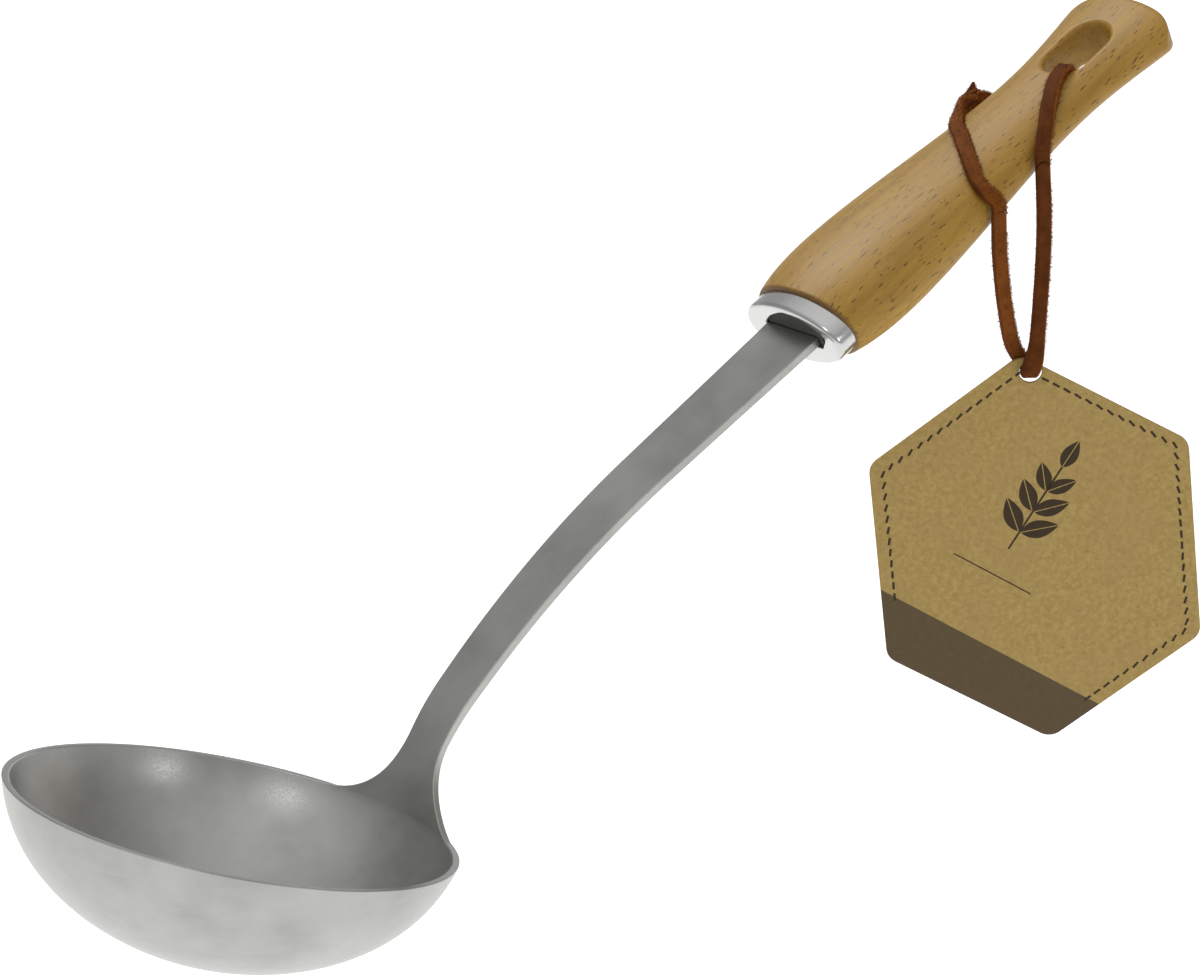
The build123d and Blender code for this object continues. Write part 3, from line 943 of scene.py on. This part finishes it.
ferrule = add_piece("ferrule_ring", ferrule_mesh(), "ladle", polished_steel())
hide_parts("ferrule")
print("ferrule faces", len(ferrule.data.polygons))

# %% [markdown]
# ## Beech
# Beech is pale and even, with short dark flecks where its rays are cut, all lying along
# the grain, and faint bands of growth. The grain runs along the handle, so the pattern's
# coordinates are first turned to the handle's slope, then stretched. Two sizes of cells
# give the flecks, and a noise chooses which of them are dark. A thin line of painted
# shade darkens the wood at the ferrule, where the gap between them would lie in shadow.

# %% The beech finish
handle_slope = shank_slope - rim_tip
joint_along = -grip_distance  # where the wood begins, along the handle
fleck_sizes = [(1150.0, 0.40, 0.47), (1700.0, 0.41, 0.48)]   # cells in a metre, and limits of the noise
painted_shade_run = (0.0001, 0.0009)   # the dark line fades over this run


def waxed_beech():
    finish, tree, shader = new_finish("waxed_beech", Coat_Weight=0.3, Coat_Roughness=0.45,
                                      Specular_IOR_Level=0.2)
    level = turned(tree, own_place(tree), (0.0, handle_slope, 0.0))
    bands = noise(tree, turned(tree, level, scale=(0.06, 1.0, 1.0)), 420.0, 3.0, 0.55)
    streaks = noise(tree, turned(tree, level, scale=(0.04, 1.0, 1.0)), 2200.0, 2.0, 0.6)
    clouds = noise(tree, level, 45.0, 3.0, 0.55)
    tone = toned(tree, bands, 0.3, 0.7, (0.300, 0.163, 0.019), (0.425, 0.252, 0.038))
    tone = toned(tree, streaks, 0.35, 0.7, tone, (0.230, 0.112, 0.012), 0.45)
    tone = toned(tree, clouds, 0.4, 0.65, tone, (0.335, 0.178, 0.021), 0.5)
    marks = 0.0
    for grain_scale, low, high in fleck_sizes:
        cells = out(tree, "ShaderNodeTexVoronoi", {"Vector": turned(tree, level, scale=(0.13, 1.0, 1.0)),
                                                   "Scale": grain_scale, "Randomness": 1.0})
        chosen = spread(tree, noise(tree, level, grain_scale * 0.8), low, high, 0.0, 1.0)
        fleck = maths(tree, "MULTIPLY", spread(tree, cells, 0.14, 0.20, 1.0, 0.0), chosen)
        marks = maths(tree, "MAXIMUM", marks, fleck)
    tone = toned(tree, marks, 0.0, 1.0, tone, (0.070, 0.028, 0.006), 0.9)
    along = out(tree, "ShaderNodeSeparateXYZ", {"Vector": level})
    # Painted shade: a thin dark line on the wood at the ferrule, where the gap would be in shadow.
    start, end = [joint_along + run for run in painted_shade_run]
    painted_joint_shade = spread(tree, along, start, end, 0.7, 0.0)
    feed(shader, "Base Color", mixed(tree, painted_joint_shade, tone, (0.10, 0.045, 0.015)))
    feed(shader, "Roughness", spread(tree, bands, 0.3, 0.7, 0.42, 0.55))
    bump(tree, shader, marks, -0.4, 0.0001)
    return finish


finish_node("handle", waxed_beech())

# %% [markdown]
# ## The card tag
# The tag is stiff unbleached card with a plain printed design: a dark band across its
# lowest corner, a dashed line inside its edges, a sprig of leaves and a thin rule. The
# card has its own flat frame, turned to the tag's facing and leant so that its weight
# hangs straight below the lace. The band is part of the card's finish. The other prints
# are very thin plates on its face.

# %% The card's frame and finish
tag_pivot = Vector((0.0091, -0.0155, -0.0392))
tag_facing = math.radians(224.8)
tag_hole = Vector((0.0019, 0.0430))
tag_drop = 0.0010             # from the pivot to the middle of the hole
tag_half_width = 0.0352
tag_half_height = 0.0471
tag_side_height = 0.503 * tag_half_height
card_thickness = 0.0008
band_line = (Vector((-0.0350, -0.0067)), Vector((0.01175, -0.0396)))
tag_lean = math.atan2(tag_hole.x, tag_hole.y)
tag_across = Vector((-math.sin(tag_facing), math.cos(tag_facing), 0.0))
band_softness = 0.00003
tag_normal = Vector((math.cos(tag_facing), math.sin(tag_facing), 0.0))


def on_card(place, rise=0.0):
    """World place of a point of the card, measured from the card's middle."""
    flat = place - tag_hole
    flat.rotate(Matrix.Rotation(tag_lean, 2))
    return (tag_pivot + tag_across * flat.x + Vector((0.0, 0.0, flat.y - tag_drop))
            + tag_normal * (card_thickness / 2 + rise))


def kraft_card():
    finish, tree, shader = new_finish("kraft_card", Roughness=0.85, Specular_IOR_Level=0.2)
    place = own_place(tree)
    pulp = noise(tree, place, 900.0, 4.0, 0.65)
    clouds = noise(tree, place, 70.0, 3.0, 0.5)
    hairs = noise(tree, turned(tree, place, (0.6, 0.0, 0.9), (1.0, 1.0, 0.2)), 1500.0, 2.0, 0.6)
    tone = toned(tree, pulp, 0.35, 0.65, (0.318, 0.216, 0.070), (0.414, 0.294, 0.106))
    tone = toned(tree, clouds, 0.4, 0.65, tone, (0.348, 0.245, 0.086), 0.4)
    tone = toned(tree, hairs, 0.62, 0.72, tone, (0.198, 0.127, 0.042), 0.4)
    ink = mixed(tree, pulp, (0.084, 0.060, 0.031), (0.122, 0.089, 0.048))
    start, end = [on_card(point) for point in band_line]
    below = tag_normal.cross(end - start).normalized()
    if below.z > 0:
        below = -below
    line_height = start.dot(below)
    face_depth = start.dot(tag_normal)
    inside = spread(tree, dot(tree, place, below), line_height - band_softness, line_height + band_softness,
                    0.0, 1.0)
    front = spread(tree, dot(tree, place, tag_normal), face_depth - 0.0001, face_depth - 0.00005, 0.0, 1.0)
    feed(shader, "Base Color", mixed(tree, maths(tree, "MULTIPLY", inside, front), tone, ink))
    bump(tree, shader, pulp, 0.2, 0.00008)
    return finish


def printed_ink():
    finish, tree, shader = new_finish("printed_ink", Roughness=0.8, Specular_IOR_Level=0.2)
    pulp = noise(tree, own_place(tree), 900.0, 4.0, 0.65)
    feed(shader, "Base Color", mixed(tree, pulp, (0.034, 0.022, 0.011), (0.056, 0.038, 0.020)))
    return finish


ink = printed_ink()
finish_node("tag", kraft_card())

# %% [markdown]
# ## The dashed line
# The dashes follow a path inside the card's edges, from one end of the dark band round
# to the other, and leave room for the hole. A geometry group resamples the path by the
# dash's pitch and sets a small flat plate on every point, turned to the path.

# %% The path of the dashes
dash_insets = [0.0023, 0.0029, 0.0029, 0.0030, 0.0030, 0.0031]   # beside each edge, from the top clockwise
left_of_hole = 0.0016         # where the dashes begin on each side of the top corner
right_of_hole = 0.0052
print_rise = 0.00001


def crossing(first, first_run, second, second_run):
    """Point where two lines meet, each given by a point and a direction."""
    gap = second - first
    return first + first_run * ((gap.x * second_run.y - gap.y * second_run.x)
                                / (first_run.x * second_run.y - first_run.y * second_run.x))


def inset_corners():
    """Corners of the card's outline, moved in from each edge by its inset."""
    corners = [Vector(place) for place in [
        (0.0, tag_half_height), (tag_half_width, tag_side_height), (tag_half_width, -tag_side_height),
        (0.0, -tag_half_height), (-tag_half_width, -tag_side_height), (-tag_half_width, tag_side_height)]]
    moved = []
    for number, corner in enumerate(corners):
        before = (corner - corners[number - 1]).normalized()
        after = (corners[(number + 1) % len(corners)] - corner).normalized()
        moved.append(crossing(corner + Vector((before.y, -before.x)) * dash_insets[number - 1], before,
                              corner + Vector((after.y, -after.x)) * dash_insets[number], after))
    return moved


def dash_paths():
    top, upper_right, lower_right, bottom, lower_left, upper_left = inset_corners()
    band_run = band_line[1] - band_line[0]
    left_end = crossing(upper_left, lower_left - upper_left, band_line[0], band_run)
    right_end = crossing(lower_right, bottom - lower_right, band_line[0], band_run)
    return [[top + (upper_left - top).normalized() * left_of_hole, upper_left, left_end],
            [top + (upper_right - top).normalized() * right_of_hole, upper_right, lower_right, right_end]]


def line_object(paths):
    """A mesh of edges only, along the given paths on the card's face."""
    mesh = bpy.data.meshes.new("dash_path")
    places, edges = [], []
    for path in paths:
        start = len(places)
        places += [on_card(point, print_rise) for point in path]
        edges += [(start + step, start + step + 1) for step in range(len(path) - 1)]
    mesh.from_pydata(places, edges, [])
    holder = bpy.data.objects.new("dash_path", mesh)
    bpy.context.scene.collection.objects.link(holder)
    return holder


# %% Print the dashes
def dash_group():
    tree, given = new_group("printed_dashes", [("Pitch", "Float"), ("Dash", "Vector"), ("Facing", "Vector")])
    path = out(tree, "GeometryNodeMeshToCurve", {"Mesh": given["Geometry"]})
    points = put(tree, "GeometryNodeCurveToPoints", {"Curve": path, "Length": given["Pitch"]},
                 mode="LENGTH").outputs
    facing = out(tree, "FunctionNodeAlignRotationToVector", {"Vector": given["Facing"]}, axis="Z")
    along = out(tree, "FunctionNodeAlignRotationToVector", {"Rotation": facing, "Vector": points["Tangent"]},
                axis="X", pivot_axis="Z")
    plate = out(tree, "GeometryNodeMeshCube", {"Size": given["Dash"]})
    return close_group(tree, given, {"Points": points["Points"], "Instance": plate, "Rotation": along})


holder = line_object(dash_paths())
dashes = run_group(holder, dash_group(), {"Pitch": 0.00270, "Dash": (0.00180, 0.00055, 0.00002),
                                          "Facing": tag_normal, "Material": ink})
bpy.data.objects.remove(holder)
add_piece("tag_dashes", dashes, "hanging_tag")
print("dashes", len(dashes.polygons) // 6)

# %% [markdown]
# ## The sprig
# The printed sprig is plain: a stem, pairs of pointed leaves split along their middle,
# and one leaf at the tip. It reads upright when the card hangs, so it is drawn in a
# small frame of its own, turned against the card's lean. A thin rule closes it below.

# %% Print the sprig and the rule
sprig_foot = Vector((-0.0060, 0.0010))
reading = (band_line[1] - band_line[0]).normalized()
upright = Vector((-reading.y, reading.x))
stem_length = 0.0230
stem_width = 0.00045
leaf_vein = 0.00022
leaf_steps = 12
leaf_fullness = 0.24
leaf_lean, leaf_roundness = 0.85, 0.9    # exponents that move and round the leaf's widest part
leaf_gap = 0.0004             # from the stem to a leaf's foot
leaf_pairs = [(0.20, 0.0085, 48), (0.45, 0.0080, 44), (0.70, 0.0068, 38)]   # place on stem, length, angle
tip_leaf_length = 0.0072
rule_middle = Vector((-0.0100, -0.0048))
rule_length = 0.0200
rule_width = 0.00030


def half_leaf(foot, direction, length, side):
    """Outline of one half of a pointed leaf, beside its vein."""
    normal = Vector((-direction.y, direction.x)) * side
    outline = []
    for step in range(leaf_steps + 1):
        outline.append(foot + direction * length * (step / leaf_steps) + normal * leaf_vein / 2)
    for step in range(leaf_steps - 1, 0, -1):
        share = step / leaf_steps
        swell = leaf_fullness * length * math.sin(math.pi * share**leaf_lean) ** leaf_roundness
        outline.append(foot + direction * length * share + normal * (leaf_vein / 2 + swell))
    return outline


def bar(start, end, width):
    side = (end - start).normalized()
    side = Vector((-side.y, side.x)) * width / 2
    return [start - side, end - side, end + side, start + side]


def sprig_outlines():
    tip = sprig_foot + upright * stem_length
    outlines = [bar(sprig_foot, tip, stem_width)]
    for share, length, angle in leaf_pairs:
        foot = sprig_foot + upright * stem_length * share
        for turn_side in (-1, 1):
            direction = upright.copy()
            direction.rotate(Matrix.Rotation(math.radians(angle) * turn_side, 2))
            outlines += [half_leaf(foot + direction * leaf_gap, direction, length, side) for side in (-1, 1)]
    outlines += [half_leaf(tip, upright, tip_leaf_length, side) for side in (-1, 1)]
    half_rule = reading * rule_length / 2
    outlines.append(bar(rule_middle - half_rule, rule_middle + half_rule, rule_width))
    return outlines


def plate_mesh(name, outlines):
    """Thin plates of ink on the card's face, one for each outline."""
    shape = bmesh.new()
    for outline in outlines:
        lower = [shape.verts.new(on_card(point)) for point in outline]
        upper = [shape.verts.new(on_card(point, 2 * print_rise)) for point in outline]
        shape.faces.new(upper)
        shape.faces.new(list(reversed(lower)))
        join_rows(shape, lower, upper)
    return plain_mesh(name, shape)


sprig = add_piece("tag_sprig", plate_mesh("tag_sprig", sprig_outlines()), "hanging_tag", ink)
print("sprig faces", len(sprig.data.polygons))

# %% [markdown]
# ## Floor and light
# The photograph is a cut-out on white: bright paper all round and below, and a darker
# room above. The paper lies well under the ladle and glows a little, so that it stays
# white and the bowl's outside mirrors it. The room is a soft grey. Two low lamps add the
# glints in the bowl. A wide one overhead shapes the handle: its light is kept off the
# steel, because the bowl would mirror it as a hot spot that the photograph doesn't have.

# %% Floor, room and lamps
floor_height = cad_box[0][2] - 0.12
floor_half = 5.0
floor_glow = 0.50
room_levels = [(0.0, 0.50), (0.35, 0.44), (0.60, 0.48), (1.0, 0.90)]   # brightness at each height
dark_side = (-0.36, 0.80, 0.48)
dark_limits = (0.90, 0.99)    # how closely a direction agrees with the dark side where it darkens
dark_level = 0.78
lamp_aim = Vector((-0.08, 0.0, -0.03))
lamp_table = [   # name, place, size, power
    ("bowl_left", Vector((0.08, -1.15, 0.42)), 0.22, 1.0),
    ("bowl_right", Vector((-0.885, -0.39, 0.89)), 0.22, 1.0),
    ("overhead", Vector((0.15, 0.70, 1.0)), 0.5, 7.0)]


def add_floor():
    mesh = bpy.data.meshes.new("floor")
    corners = [(-1, -1), (1, -1), (1, 1), (-1, 1)]
    mesh.from_pydata([(x * floor_half, y * floor_half, floor_height) for x, y in corners], [], [(0, 1, 2, 3)])
    finish = new_finish("pale_floor", Roughness=0.9, Base_Color=(0.90, 0.90, 0.90, 1.0),
                        Emission_Color=(1.0, 1.0, 1.0, 1.0), Emission_Strength=floor_glow)[0]
    mesh.materials.append(finish)
    floor = bpy.data.objects.new("floor", mesh)
    bpy.context.scene.collection.objects.link(floor)


def add_lamp(name, place, size, power):
    data = bpy.data.lights.new(name, "AREA")
    data.shape = "DISK"
    data.size = size
    data.energy = power
    lamp = bpy.data.objects.new(name, data)
    turn = (lamp_aim - place).to_track_quat("-Z", "Y").to_matrix().to_4x4()
    lamp.matrix_world = Matrix.Translation(place) @ turn
    bpy.context.scene.collection.objects.link(lamp)
    return lamp


def add_room():
    """A grey room that is brightest overhead and has one dark side, which shades the neck."""
    world = bpy.data.worlds.new("room")
    world.use_nodes = True
    tree = world.node_tree
    direction = put(tree, "ShaderNodeTexCoord").outputs["Generated"]
    height = put(tree, "ShaderNodeSeparateXYZ", {"Vector": direction}).outputs["Z"]
    background = tree.nodes["Background"]
    feed(background, "Color", ramp(tree, height, room_levels))
    feed(background, "Strength", spread(tree, dot(tree, direction, dark_side), *dark_limits, 1.0, dark_level))
    bpy.context.scene.world = world


def spare(lamp, pieces):
    """Keep a lamp's light off some pieces."""
    spared = bpy.data.collections.new("not_lit_from_" + lamp.name)
    for piece in pieces:
        spared.objects.link(piece)
    lamp.light_linking.receiver_collection = spared
    for entry in spared.collection_objects:
        entry.light_linking.link_state = "EXCLUDE"


add_floor()
add_room()
lamps = [add_lamp(*row) for row in lamp_table]
spare(lamps[-1], (pressing, ferrule))
print("lamps", [lamp.name for lamp in lamps])
